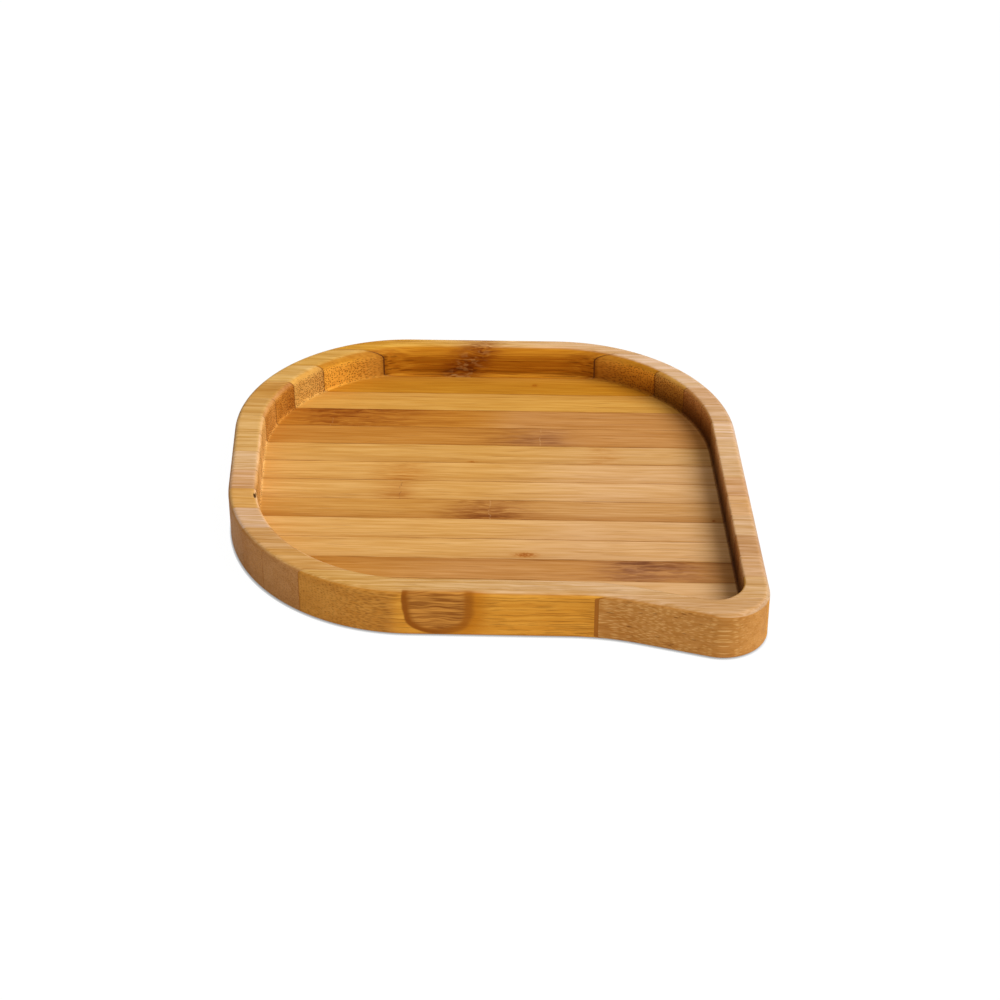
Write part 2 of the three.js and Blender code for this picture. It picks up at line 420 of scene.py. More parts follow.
class Graph:
    """A shader node tree, with short ways to add nodes that are already wired."""

    def __init__(self, tree: bpy.types.NodeTree) -> None:
        """Keeps the tree that nodes are added to."""
        self.tree = tree

    def add(self, kind: str, **settings: object) -> bpy.types.Node:
        """Adds a node.

        Args:
            kind: Blender's name for its type.
            settings: the properties that are set on it.

        Returns:
            The new node.
        """
        node = self.tree.nodes.new(kind)
        for key, value in settings.items():
            setattr(node, key, value)
        return node

    def feed(self, socket: Socket, value: Value) -> None:
        """Fills an input.

        Args:
            socket: the input.
            value: an output that is linked to it, or its own value.
        """
        if isinstance(value, Socket):
            self.tree.links.new(value, socket)
        else:
            socket.default_value = value

    def math(self, operation: str, *values: Value, clamp: bool = False) -> Socket:
        """Adds a Math node.

        Args:
            operation: Blender's name for the sum.
            values: its one to three inputs.
            clamp: whether the result is held between zero and one.

        Returns:
            The result's socket.
        """
        node = self.add("ShaderNodeMath", operation=operation, use_clamp=clamp)
        for socket, value in zip(node.inputs, values):
            self.feed(socket, value)
        return node.outputs[0]

    def plus(self, a: Value, b: Value) -> Socket:
        """Adds two values."""
        return self.math("ADD", a, b)

    def minus(self, a: Value, b: Value) -> Socket:
        """Takes b from a."""
        return self.math("SUBTRACT", a, b)

    def divided(self, a: Value, b: Value) -> Socket:
        """Divides a by b."""
        return self.math("DIVIDE", a, b)

    def power(self, a: Value, b: Value) -> Socket:
        """Raises a to the power of b."""
        return self.math("POWER", a, b)

    def larger(self, a: Value, b: Value) -> Socket:
        """Gives the larger of two values."""
        return self.math("MAXIMUM", a, b)

    def scaled(self, value: Value, factor: Value, added: Value) -> Socket:
        """Multiplies a value by a factor and adds to it."""
        return self.math("MULTIPLY_ADD", value, factor, added)

    def bell(self, squared: Value) -> Socket:
        """Gives exp(-d^2) from d squared."""
        return self.math("EXPONENT", self.times(squared, -1.0))

    def times(self, *values: Value) -> Socket:
        """Multiplies values together.

        Args:
            values: two or more of them.

        Returns:
            The product.
        """
        product = values[0]
        for value in values[1:]:
            product = self.math("MULTIPLY", product, value)
        return product

    def lift(self, value: Value, low: float) -> Socket:
        """Raises a share so that it runs from low to 1 instead of from 0 to 1."""
        return self.scaled(value, 1 - low, low)

    def flip(self, value: Value) -> Socket:
        """Turns a share round, so that 0 becomes 1."""
        return self.minus(1.0, value)

    def ramp(self, value: Value, low: Value, high: Value) -> Socket:
        """Makes a smooth step.

        Args:
            value: what is compared.
            low: where the step starts, from 0.
            high: where it is full, at 1.

        Returns:
            The share between 0 and 1.
        """
        node = self.add("ShaderNodeMapRange", interpolation_type="SMOOTHSTEP")
        for key, entry in (("Value", value), ("From Min", low), ("From Max", high)):
            self.feed(node.inputs[key], entry)
        return node.outputs[0]

    def join(self, x: Value, y: Value, z: Value) -> Socket:
        """Makes a vector.

        Args:
            x: its first value.
            y: its second.
            z: its third.

        Returns:
            The vector's socket.
        """
        node = self.add("ShaderNodeCombineXYZ")
        for socket, value in zip(node.inputs, (x, y, z)):
            self.feed(socket, value)
        return node.outputs[0]

    def split(self, vector: Value) -> tuple[Socket, Socket, Socket]:
        """Takes a vector apart.

        Args:
            vector: the vector.

        Returns:
            Its x, y and z.
        """
        node = self.add("ShaderNodeSeparateXYZ")
        self.feed(node.inputs[0], vector)
        return node.outputs[0], node.outputs[1], node.outputs[2]

    def millimetres(self, point: Value) -> list[Socket]:
        """Takes a point in metres apart into x, y and z in millimetres."""
        return [self.times(part, 1 / MM) for part in self.split(point)]

    def noise(self, point: tuple[Value, Value, Value], size: tuple[float, float, float],
              detail: float = 1.0) -> bpy.types.Node:
        """Adds soft noise whose blotches have a given size along each axis.

        Args:
            point: where it is read, as three values.
            size: the blotch size along x, y and z, in the same unit as the point.
            detail: how many finer layers are added.

        Returns:
            The noise node, with its value first and its colour second.
        """
        scaled = [self.divided(value, length) for value, length in zip(point, size)]
        node = self.add("ShaderNodeTexNoise")
        self.feed(node.inputs["Vector"], self.join(*scaled))
        node.inputs["Scale"].default_value = 1.0
        node.inputs["Detail"].default_value = detail
        return node

    def blotch(self, point: tuple[Value, Value, Value], mottle: Mottle) -> Socket:
        """Gives a mottle's patches, read at a point."""
        return self.ramp(self.noise(point, mottle.size, mottle.detail).outputs[0], *mottle.edge)

    def mix(self, share: Value, a: Value, b: Value, blend: str = "MIX") -> Socket:
        """Mixes two colours.

        Args:
            share: how far the mix goes from a to b.
            a: the colour at 0.
            b: the colour at 1.
            blend: Blender's name for the way b is laid over a.

        Returns:
            The mixed colour.
        """
        node = self.add("ShaderNodeMix", data_type="RGBA", blend_type=blend, clamp_factor=True)
        self.feed(node.inputs[0], share)
        self.feed(node.inputs[6], a)
        self.feed(node.inputs[7], b)
        return node.outputs[2]

    def tint(self, share: Value, colour: Value, factor: tuple[float, float, float]) -> Socket:
        """Multiplies a colour by a linear factor, by a share."""
        return self.mix(share, colour, (*factor, 1.0), "MULTIPLY")

    def stain(self, amount: Value, colour: Value, factor: tuple[float, float, float]) -> Socket:
        """Multiplies a colour by a linear factor to the power of an amount, which may pass 1."""
        powers = [self.power(part, amount) for part in factor]
        return self.mix(1.0, colour, self.join(*powers), "MULTIPLY")


def new_material(name: str) -> tuple[bpy.types.Material, Graph, bpy.types.Node]:
    """Makes a material.

    Args:
        name: its name.

    Returns:
        The material, its graph and its Principled shader.
    """
    material = bpy.data.materials.new(name)
    material.use_nodes = True
    return material, Graph(material.node_tree), material.node_tree.nodes["Principled BSDF"]


class Side(Enum):
    """Which edge of a stave was the culm's dense skin side."""

    FRONT = -1.0
    BACK = 1.0


class Tone(Enum):
    """The bamboo tones that the staves were picked from, as display colours."""

    PALE = 0xE1B380
    WHEAT = 0xDDAE74
    STRAW = 0xD8A24E
    TAN = 0xD5A36B
    BROWN = 0xCC9458
    CARAMEL = 0xD2954C
    AMBER = 0xC28322
    GOLD = 0xC9861D


@dataclass(frozen=True)
class BambooFinish:
    """One stave's milled and oiled bamboo: its tone, and how strongly each mark shows."""

    tone: Tone = Tone.PALE
    # Painted light: the three values after the tone, and the rim's amount after the rim tone, grade a warm
    # tint towards the back left, for warm bounce light and little sheen there.
    pool: float = 1.0
    pool_start: float = -12.0
    pool_end: float = 36.0
    sanded: float = 0.85
    rim_tone: int = 0xE0BD9B
    # Painted light: how strongly the rim warms towards its left.
    mellow: float = 1.15
    wall_tone: int = 0xB68049
    skin_tone: int = 0xB4793A
    skin: float = 0.2
    skin_start: float = 0.1
    side: Side = Side.FRONT
    banding: float = 0.5
    streaks: float = 0.7
    hairs: float = 0.35
    soak: float = 0.5
    cut: float = 1.0
    cell: float = 0.5
    bundles: float = 1.0
    end_bundles: float = 1.0
    face_bundles: float = 0.05
    light_bundles: float = 0.0


@dataclass(frozen=True)
class NodeRing:
    """The mark of a culm node across a stave: a stained patch with bent fibres and a thin scar."""

    at: float = 0.0
    left: float = 8.0
    right: float = 8.0
    lean: float = 0.0
    stain: float = 0.0
    warm: float = 0.0
    scar: float = 0.0
    crack: float = 0.0
    scuff: float = 0.0
    swirl: float = 0.0


@dataclass(frozen=True)
class Knot:
    """A small dark speck in a stave, seen from above."""

    x: float = 0.0
    y: float = 0.0
    length: float = 1.0
    width: float = 0.5
    depth: float = 0.0


def inputs_of(part: Union[BambooFinish, NodeRing, Knot], prefix: str = "") -> dict[str, Union[float, tuple]]:
    """Gives a part's values under the names of the bamboo group's inputs.

    Args:
        part: a finish, node or knot.
        prefix: what the names begin with.

    Returns:
        Floats as they are, and display colours as linear colours.
    """
    found = {}
    for entry in fields(part):
        value = getattr(part, entry.name)
        value = value.value if isinstance(value, Enum) else value
        name = prefix + entry.name.replace("_", " ").title()
        found[name] = linear(value) if isinstance(value, int) else value
    return found


@dataclass(frozen=True)
class SkinPatch:
    """A patch of bare culm skin on a stave's front face, open to the rim and rounded below.

    Its edge is where |dx / length|^p + |dz / height|^p = 1, counting only the dz below its middle. The
    pairs are where a share starts and is full, or the slope and start of a straight line.
    """

    WOBBLE_SIZE = (5.0, 4.0, 9.0)
    WOBBLE = (0.2, -0.1)
    BEND_SIZE = (9.0, 4.0, 9.0)
    SMEAR = Mottle((13.0, 1.5, 9.0), (0.38, 0.62), 2.0)
    STREAK = Mottle((8.0, 0.45, 9.0), (0.42, 0.6))
    RIGHTWARD = (-0.3, 0.7)
    GLOW_RUN = (0.2, 0.9)
    GLOW_EDGE = (1.05, 1.7)
    BORDER = (0.68, 0.9)
    FADE = (0.1, 1.05)
    STRENGTH = (-0.2, 0.95)

    x: float = -13.2
    z: float = 8.4
    length: float = 9.6
    height: float = 7.6
    power: float = 2.2
    front: float = -63.8
    turn: float = 0.5
    bend: float = 2.0
    streaky: float = 0.55
    glow_share: float = 0.75
    inside_from: float = 0.72
    border_to: float = 0.97
    border_warmth: float = 0.25
    edge: int = 0x8C4C0C
    glow: int = 0xB66C0C
    dark: int = 0x8A5018
    light: int = 0xC8883A

    def over(self, g: Graph, colour: Socket, point: Socket) -> Socket:
        """Lays the patch over a colour: smeared streaks, crisply edged at the left and softly at the right.

        Args:
            g: the material's graph.
            colour: the colour under the patch.
            point: the place on the piece, in metres.

        Returns:
            The colour with the patch in it.
        """
        x, y, z = g.millimetres(point)
        wobble = g.noise((x, z, y), self.WOBBLE_SIZE).outputs[0]
        across = g.plus(g.divided(g.minus(x, self.x), self.length), g.scaled(wobble, *self.WOBBLE))
        below = g.math("MINIMUM", g.divided(g.minus(z, self.z), self.height), 0.0)
        total = g.plus(*(g.power(g.math("ABSOLUTE", part), self.power) for part in (across, below)))
        reach = g.power(total, 1 / self.power)
        on_face = g.flip(g.ramp(y, self.front - self.turn, self.front + self.turn))
        bent = g.plus(z, g.times(g.noise((x, z, y), self.BEND_SIZE).outputs[0], self.bend))
        smear, streak = (g.blotch((x, bent, y), mottle) for mottle in (self.SMEAR, self.STREAK))
        shade = g.scaled(streak, self.streaky, g.times(smear, 1 - self.streaky))
        rightward = g.ramp(across, *self.RIGHTWARD)
        fade = g.scaled(rightward, *self.FADE)
        glow = g.times(g.ramp(across, *self.GLOW_RUN), g.flip(g.ramp(reach, *self.GLOW_EDGE)))
        colour = g.mix(g.times(glow, on_face, self.glow_share), colour, linear(self.glow))
        inside = g.times(g.flip(g.ramp(reach, self.inside_from, fade)), on_face)
        colour = g.mix(inside, colour, g.mix(shade, linear(self.light), linear(self.dark)))
        border = g.times(g.ramp(reach, *self.BORDER), g.flip(g.ramp(reach, self.border_to, fade)))
        strength = g.scaled(rightward, *self.STRENGTH)
        edge = g.mix(g.times(rightward, self.border_warmth), linear(self.edge), linear(self.glow))
        return g.mix(g.times(border, strength, on_face), colour, edge)


class Bamboo:
    """The shader node group shared by every stave.

    Fibre bundles are rods along x: a cell pattern in y and z that wavers slowly with x. Faces cut along
    the rods show streaks, and faces cut across them show dots, from the same pattern.

    Lengths are in millimetres. The three-part tints are linear factors, and the pairs are where a share
    starts and is full, or the slope and start of a straight line.

    Attributes:
        x, y, z: the place on the tray, with x along the stave.
        along: x moved by the stave's seed.
        across: the place across the stave, from -1 to 1.
        skinward: the same, with 1 at the stave's skin side.
        end: how far the face is cut across the fibres.
        near, off: the nearness to the stave's node, and the distance from its scar.
        fibre: the wavering place that the fibre patterns are read at.
        fine: the fine fibre streaks.
    """

    PLACE = ("Seed", "Middle", "Half", "End Grain", "Oil", "Outside", "Chipped")
    SEED_STEP = 211.0
    FINE_GRAIN = Mottle((24.0, 0.7, 0.7), (0.36, 0.64), 1.5)
    BROAD_GRAIN = Mottle((70.0, 2.6, 2.6), (0.34, 0.66))
    THREAD_GRAIN = Mottle((10.0, 0.36, 0.36), (0.4, 0.62))
    HAIR_GRAIN = Mottle((14.0, 0.5, 0.5), (0.62, 0.74))
    SOAK_RUNS = Mottle((14.0, 3.0, 3.0), (0.38, 0.62), 2.0)
    SOAK_RAGS = Mottle((0.9, 0.9, 0.9), (0.35, 0.6))
    NODE_CLOUD = Mottle((8.0, 1.0, 1.0), (0.36, 0.62), 2.0)
    SCAR_BREAKS = Mottle((30.0, 1.1, 1.1), (0.4, 0.56))
    SCUFF_FLECKS = Mottle((2.2, 1.1, 1.1), (0.5, 0.62))
    KNOT_GRAIN = Mottle((1.0, 0.6, 1.0), (0.35, 0.6))
    END_FACE = (0.12, 0.6)
    END_STREAKS = (-0.6, 1.0)
    BARE_STREAKS = (0.4, 1.0)
    BARE_THREADS = (1.5, 1.0)
    CHIP_EDGE = (0.1, 0.5)
    GRAIN_ROUGHNESS = (0.1, 0.45)
    END_ROUGHNESS = 0.1
    HAIR_DEPTH = -0.6
    GRAIN_DEPTH = -0.35
    WALL_EDGE = (0.1, 0.4)
    WALL_SHARE = 0.9
    SKIN_FULL = 0.95
    # Painted light in the recess: how y leans the warm tint, and where the oil lets it show.
    POOL_LEAN = -0.25
    POOL_OIL = (0.5, 1.0)
    CUT_OIL = (0.55, 0.95)
    BARE_EDGE = (0.55, 0.85)
    RIM_RUN = (-70.0, 30.0)
    RIM_EDGE = (0.2, 0.7)
    NODE_WOBBLE_SIZE = (9.0, 1.6, 1.6)
    NODE_WOBBLE = (2.4, -1.2)
    LEAN_HEIGHT = 10.0
    DRIFT_SIZE = (34.0, 9.0, 9.0)
    SWIRL_SIZE = (6.0, 2.4, 2.4)
    SWIRL = 1.5
    WAVER = 1.5
    JOINT_EDGE = (0.92, 1.0)
    OUTER_SOAK = 0.25
    NODE_DEPTH = (-1.2, 0.9)
    CLOUD_LEAST = 0.4
    DEPTH_LEAST = 0.5
    FINE_LEAST = 0.6
    KNOT_LEAST = 0.3
    SCAR_EDGE = (0.05, 0.26)
    CELL_RANDOMNESS = 0.8
    CROWD_RUN = (-0.6, 1.0)
    CROWDING = 0.45
    DOT_EDGE = (0.15, 0.42)
    DOT_SHARE = (0.15, 0.5)
    DOT_OIL = (0.6, 0.95)
    OUTER_DOTS = 0.3
    BUMP_STRENGTH = 0.6
    BUMP_DEPTH = 0.06 * MM
    CHIP_TONE = 0x4A2C0C
    SCAR_TONE = 0xE2B67E
    SCUFF_TONE = 0xB5844A
    # Painted light: the warm tint graded towards the back left of the recess and of the rim, for warm bounce
    # light and little sheen there.
    HONEY = (0.955, 0.875, 0.545)
    DEEP = (0.84, 0.76, 0.62)
    FIBRE = (0.86, 0.77, 0.56)
    THREAD = (0.9, 0.85, 0.74)
    HAIR = (0.55, 0.42, 0.28)
    SOAK = (0.45, 0.32, 0.18)
    STAIN = (0.48, 0.4, 0.56)
    WARM = (0.72, 0.5, 0.28)
    CUT = (1.1, 1.12, 1.22)
    # Painted shade on the bare rim's edges that turn to the sides.
    DULL = (0.82, 0.84, 0.9)
    # Painted shade on the right wall, laid on where the oil runs above 1.
    BURN = (0.26, 0.18, 0.09)
    BUNDLE = (0.3, 0.22, 0.12)
    GLEAM = (1.45, 1.9, 3.0)
    SHEEN = 0.06

    def __init__(self) -> None:
        """Builds the group's sockets, what says where a point lies, and then the pattern."""
        self.group = bpy.data.node_groups.new("bamboo", "ShaderNodeTree")
        self.socket("Point", "INPUT", "Vector")
        values = dict.fromkeys(self.PLACE, 0.0) | self.settings(BambooFinish(), NodeRing(), Knot())
        for name, value in values.items():
            self.socket(name, "INPUT", "Color" if isinstance(value, tuple) else "Float")
        for name, kind in (("Colour", "Color"), ("Roughness", "Float"), ("Height", "Float")):
            self.socket(name, "OUTPUT", kind)
        self.graph = g = Graph(self.group)
        self.given = given = g.add("NodeGroupInput").outputs
        self.x, self.y, self.z = g.millimetres(given["Point"])
        self.along = g.plus(self.x, g.times(given["Seed"], self.SEED_STEP))
        self.across = g.divided(g.minus(self.y, given["Middle"]), given["Half"])
        self.skinward = g.times(self.across, given["Side"])
        self.end = g.ramp(given["End Grain"], *self.END_FACE)
        self.near, self.off = self.node_ring()
        self.fibre = (self.along, *self.bent())
        self.fine = g.blotch(self.fibre, self.FINE_GRAIN)
        self.wire()

    def socket(self, name: str, way: str, kind: str) -> None:
        """Gives the group one more socket."""
        self.group.interface.new_socket(name=name, in_out=way, socket_type=f"NodeSocket{kind}")

    @staticmethod
    def settings(finish: BambooFinish, ring: NodeRing, knot: Knot) -> dict[str, Union[float, tuple]]:
        """Gives a stave's values under the names of the group's inputs."""
        return inputs_of(finish) | inputs_of(ring, "Node ") | inputs_of(knot, "Knot ")

    def wire(self) -> None:
        """Wires the whole pattern to the group's outputs."""
        g, given, fine = self.graph, self.given, self.fine
        grains = (self.BROAD_GRAIN, self.THREAD_GRAIN, self.HAIR_GRAIN)
        broad, thread, hair = (g.blotch(self.fibre, grain) for grain in grains)
        colour, bare = self.body()
        streaks = g.times(given["Streaks"], g.scaled(self.end, *self.END_STREAKS))
        colour = g.tint(g.times(broad, given["Banding"]), colour, self.DEEP)
        colour = g.tint(g.times(fine, streaks, g.scaled(bare, *self.BARE_STREAKS)), colour, self.FIBRE)
        colour = g.tint(g.times(thread, streaks, g.scaled(bare, *self.BARE_THREADS)), colour, self.THREAD)
        colour = g.tint(g.times(hair, given["Hairs"]), colour, self.HAIR)
        colour = self.knot_colour(self.node_colour(self.soaked(colour)))
        colour, dots = self.bundle_colour(colour)
        colour = g.mix(g.ramp(given["Chipped"], *self.CHIP_EDGE), colour, linear(self.CHIP_TONE))
        rough = g.scaled(fine, *self.GRAIN_ROUGHNESS)
        rough = g.scaled(g.larger(self.near, self.end), self.END_ROUGHNESS, rough)
        height = g.scaled(hair, self.HAIR_DEPTH, g.times(fine, self.GRAIN_DEPTH))
        out = g.add("NodeGroupOutput").inputs
        for name, value in (("Colour", colour), ("Roughness", rough), ("Height", g.minus(height, dots))):
            g.feed(out[name], value)

    def body(self) -> tuple[Socket, Socket]:
        """Gives the wood's own tone before any grain.

        It is pale on the sanded rim, warmer towards its left by painted light, and darkened by painted shade
        on its edges that turn to the sides, and has its own tone on the outer wall and at the skin side. In
        the recess painted light warms it along x plus a share of y, from the tip's side to the back left, for
        warm bounce light and little sheen there. It is brighter where the recess is cut across the fibres,
        and painted shade darkens the right wall towards its foot, where the oil runs above 1.

        Returns:
            The tone, and how bare of any finish the place is.
        """
        g, given = self.graph, self.given
        oil, outside = given["Oil"], given["Outside"]
        walled = g.times(g.ramp(outside, *self.WALL_EDGE), self.WALL_SHARE)
        colour = g.mix(walled, given["Tone"], given["Wall Tone"])
        skin = g.times(g.ramp(self.skinward, given["Skin Start"], self.SKIN_FULL), given["Skin"])
        colour = g.mix(skin, colour, given["Skin Tone"])
        # Painted light: a warm tint grows towards the back left of the recess, for warm bounce light and
        # little sheen there.
        slope = g.scaled(self.y, self.POOL_LEAN, self.x)
        back_left_share = g.flip(g.ramp(slope, given["Pool Start"], given["Pool End"]))
        colour = g.stain(g.times(g.ramp(oil, *self.POOL_OIL), back_left_share, given["Pool"]), colour, self.HONEY)
        colour = g.stain(g.times(self.end, g.ramp(oil, *self.CUT_OIL), given["Cut"]), colour, self.CUT)
        cover = g.larger(g.math("MINIMUM", oil, 1.0), outside)
        bare = g.ramp(g.flip(cover), *self.BARE_EDGE)
        # Painted light: the rim gets the same warm tint towards its left.
        leftward = g.flip(g.ramp(self.x, *self.RIM_RUN))
        rim = g.stain(g.times(leftward, given["Mellow"]), given["Rim Tone"], self.HONEY)
        colour = g.mix(g.times(bare, given["Sanded"]), colour, rim)
        # Painted shade on the bare rim where it turns to the sides.
        colour = g.tint(g.times(bare, g.ramp(given["End Grain"], *self.RIM_EDGE)), colour, self.DULL)
        # Painted shade: the oil above 1 darkens the right wall towards its foot.
        return g.stain(g.larger(g.minus(oil, 1.0), 0.0), colour, self.BURN), bare

    def node_ring(self) -> tuple[Socket, Socket]:
        """Finds how near a point is to the stave's node.

        The distance along x wobbles with y and z, and the nearness is exp(-(d / reach)^2), with its own
        reach on each side.

        Returns:
            The nearness, and the wobbling distance from the node's scar.
        """
        g, given = self.graph, self.given
        wobble = g.noise((self.along, self.y, self.z), self.NODE_WOBBLE_SIZE, detail=2.0).outputs[0]
        middle = g.plus(given["Node At"], g.times(given["Node Lean"], g.minus(self.z, self.LEAN_HEIGHT)))
        off = g.plus(g.minus(self.x, middle), g.scaled(wobble, *self.NODE_WOBBLE))
        right = g.math("GREATER_THAN", off, 0.0)
        wider = g.minus(given["Node Right"], given["Node Left"])
        reach = g.scaled(right, wider, given["Node Left"])
        return g.bell(g.power(g.divided(off, reach), 2.0)), off

    def bent(self) -> tuple[Socket, Socket]:
        """Lets the fibres waver along the stave and swirl near its node.

        Returns:
            The wavering y and z that the fibre patterns are read at.
        """
        g, given = self.graph, self.given
        point = (self.along, self.y, self.z)
        sizes = (self.DRIFT_SIZE, self.SWIRL_SIZE)
        drift, swirl = (g.split(g.noise(point, size).outputs[1]) for size in sizes)
        amount = g.times(self.near, g.larger(given["Node Stain"], given["Node Swirl"]), self.SWIRL)
        moved = []
        for place, slow, quick in ((self.y, drift[0], swirl[0]), (self.z, drift[1], swirl[1])):
            place = g.plus(place, g.scaled(slow, self.WAVER, -self.WAVER / 2))
            turn = g.times(g.minus(quick, 0.5), amount)
            moved.append(g.plus(place, turn))
        return moved[0], moved[1]

    def soaked(self, colour: Socket) -> Socket:
        """Darkens the wood that glue has soaked into, in runs along the grain and ragged across it.

        Args:
            colour: the colour so far.

        Returns:
            The darkened colour.
        """
        g, given = self.graph, self.given
        runs = g.blotch((self.along, self.across, self.across), self.SOAK_RUNS)
        ragged = g.blotch((self.x, self.y, self.z), self.SOAK_RAGS)
        patchy = g.plus(g.times(runs, g.flip(self.end)), g.times(ragged, self.end))
        joint = g.ramp(g.math("ABSOLUTE", self.across), *self.JOINT_EDGE)
        finish = g.larger(given["Oil"], g.times(given["Outside"], self.OUTER_SOAK))
        return g.tint(g.times(joint, given["Soak"], patchy, finish), colour, self.SOAK)

    def node_colour(self, colour: Socket) -> Socket:
        """Stains the node's patch, and draws its thin scar or crack and its rough scuffs.

        Args:
            colour: the colour so far.

        Returns:
            The colour with the node in it.
        """
        g, given = self.graph, self.given
        cloud = g.lift(g.blotch(self.fibre, self.NODE_CLOUD), self.CLOUD_LEAST)
        deeper = g.lift(g.ramp(self.skinward, *self.NODE_DEPTH), self.DEPTH_LEAST)
        patch = g.times(self.near, cloud, g.lift(self.fine, self.FINE_LEAST), deeper)
        deep = g.times(patch, given["Node Stain"])
        colour = g.stain(g.times(deep, given["Node Warm"]), colour, self.WARM)
        colour = g.stain(g.times(deep, g.flip(given["Node Warm"])), colour, self.STAIN)
        broken = g.blotch(self.fibre, self.SCAR_BREAKS)
        line = g.times(g.flip(g.ramp(g.math("ABSOLUTE", self.off), *self.SCAR_EDGE)), broken)
        colour = g.mix(g.times(line, given["Node Scar"]), colour, linear(self.SCAR_TONE))
        colour = g.tint(g.times(line, given["Node Crack"]), colour, self.STAIN)
        flecks = g.blotch(self.fibre, self.SCUFF_FLECKS)
        rough = g.times(g.power(self.near, 2.0), flecks, given["Node Scuff"], given["Oil"])
        return g.mix(rough, colour, linear(self.SCUFF_TONE))

    def knot_colour(self, colour: Socket) -> Socket:
        """Stains a small speck: exp(-((dx / length)^2 + (dy / width)^2)), roughened by noise.

        Args:
            colour: the colour so far.

        Returns:
            The colour with the speck in it.
        """
        g, given = self.graph, self.given
        parts = []
        for place, middle, reach in ((self.x, "Knot X", "Knot Length"), (self.y, "Knot Y", "Knot Width")):
            away = g.divided(g.minus(place, given[middle]), given[reach])
            parts.append(g.power(away, 2.0))
        rough = g.lift(g.blotch((self.along, self.y, 0.0), self.KNOT_GRAIN), self.KNOT_LEAST)
        return g.stain(g.times(g.bell(g.plus(*parts)), rough, given["Knot Depth"]), colour, self.WARM)

    def bundle_colour(self, colour: Socket) -> tuple[Socket, Socket]:
        """Draws the fibre bundles as round dots in the plane across the stave, crowded at its skin side.

        Args:
            colour: the colour so far.

        Returns:
            The colour with the bundles in it, and how strongly they show.
        """
        g, given, end = self.graph, self.given, self.end
        cells = g.add("ShaderNodeTexVoronoi", voronoi_dimensions="2D", feature="F1")
        g.feed(cells.inputs["Vector"], g.join(*self.fibre[1:], 0.0))
        g.feed(cells.inputs["Scale"], g.divided(1.0, given["Cell"]))
        cells.inputs["Randomness"].default_value = self.CELL_RANDOMNESS
        own = g.split(cells.outputs["Color"])
        crowd = g.scaled(g.ramp(self.skinward, *self.CROWD_RUN), self.CROWDING, own[0])
        dot = g.flip(g.ramp(cells.outputs["Distance"], *self.DOT_EDGE))
        dot = g.times(dot, g.ramp(crowd, *self.DOT_SHARE))
        seen = g.plus(g.times(end, given["End Bundles"]), g.times(g.flip(end), given["Face Bundles"]))
        worn = g.larger(g.ramp(given["Oil"], *self.DOT_OIL), g.times(given["Outside"], self.OUTER_DOTS))
        strength = g.math("MULTIPLY", g.times(dot, seen, worn), given["Bundles"], clamp=True)
        light = g.math("LESS_THAN", own[1], given["Light Bundles"])
        colour = g.tint(g.times(strength, g.flip(light)), colour, self.BUNDLE)
        return g.stain(g.times(strength, light), colour, self.GLEAM), strength

    def material(self, name: str, stave: "Stave", place: tuple[float, float],
                 seed: float) -> bpy.types.Material:
        """Makes one stave's material.

        Args:
            name: the material's name.
            stave: the stave, with its finish, node, knot and patch.
            place: the stave's middle and half width in y, in millimetres.
            seed: a number that gives the stave its own grain.

        Returns:
            A material with the group on its colour, roughness and bump.
        """
        material, g, shader = new_material(name)
        grain = g.add("ShaderNodeGroup", node_tree=self.group)
        point = g.add("ShaderNodeTexCoord").outputs["Object"]
        g.feed(grain.inputs["Point"], point)
        for key in (END_GRAIN, OIL, OUTSIDE, CHIPPED):
            layer = g.add("ShaderNodeAttribute", attribute_name=key)
            g.feed(grain.inputs[key.replace("_", " ").title()], layer.outputs["Fac"])
        amounts = {"Seed": seed, "Middle": place[0], "Half": place[1]}
        amounts |= self.settings(stave.finish, stave.ring, stave.knot)
        for socket, value in amounts.items():
            grain.inputs[socket].default_value = value
        colour = grain.outputs["Colour"]
        if stave.patch:
            colour = stave.patch.over(g, colour, point)
        bump = g.add("ShaderNodeBump")
        bump.inputs["Strength"].default_value = self.BUMP_STRENGTH
        bump.inputs["Distance"].default_value = self.BUMP_DEPTH
        g.feed(bump.inputs["Height"], grain.outputs["Height"])
        g.feed(shader.inputs["Normal"], bump.outputs["Normal"])
        g.feed(shader.inputs["Base Color"], colour)
        g.feed(shader.inputs["Roughness"], grain.outputs["Roughness"])
        shader.inputs["Specular IOR Level"].default_value = self.SHEEN
        return material


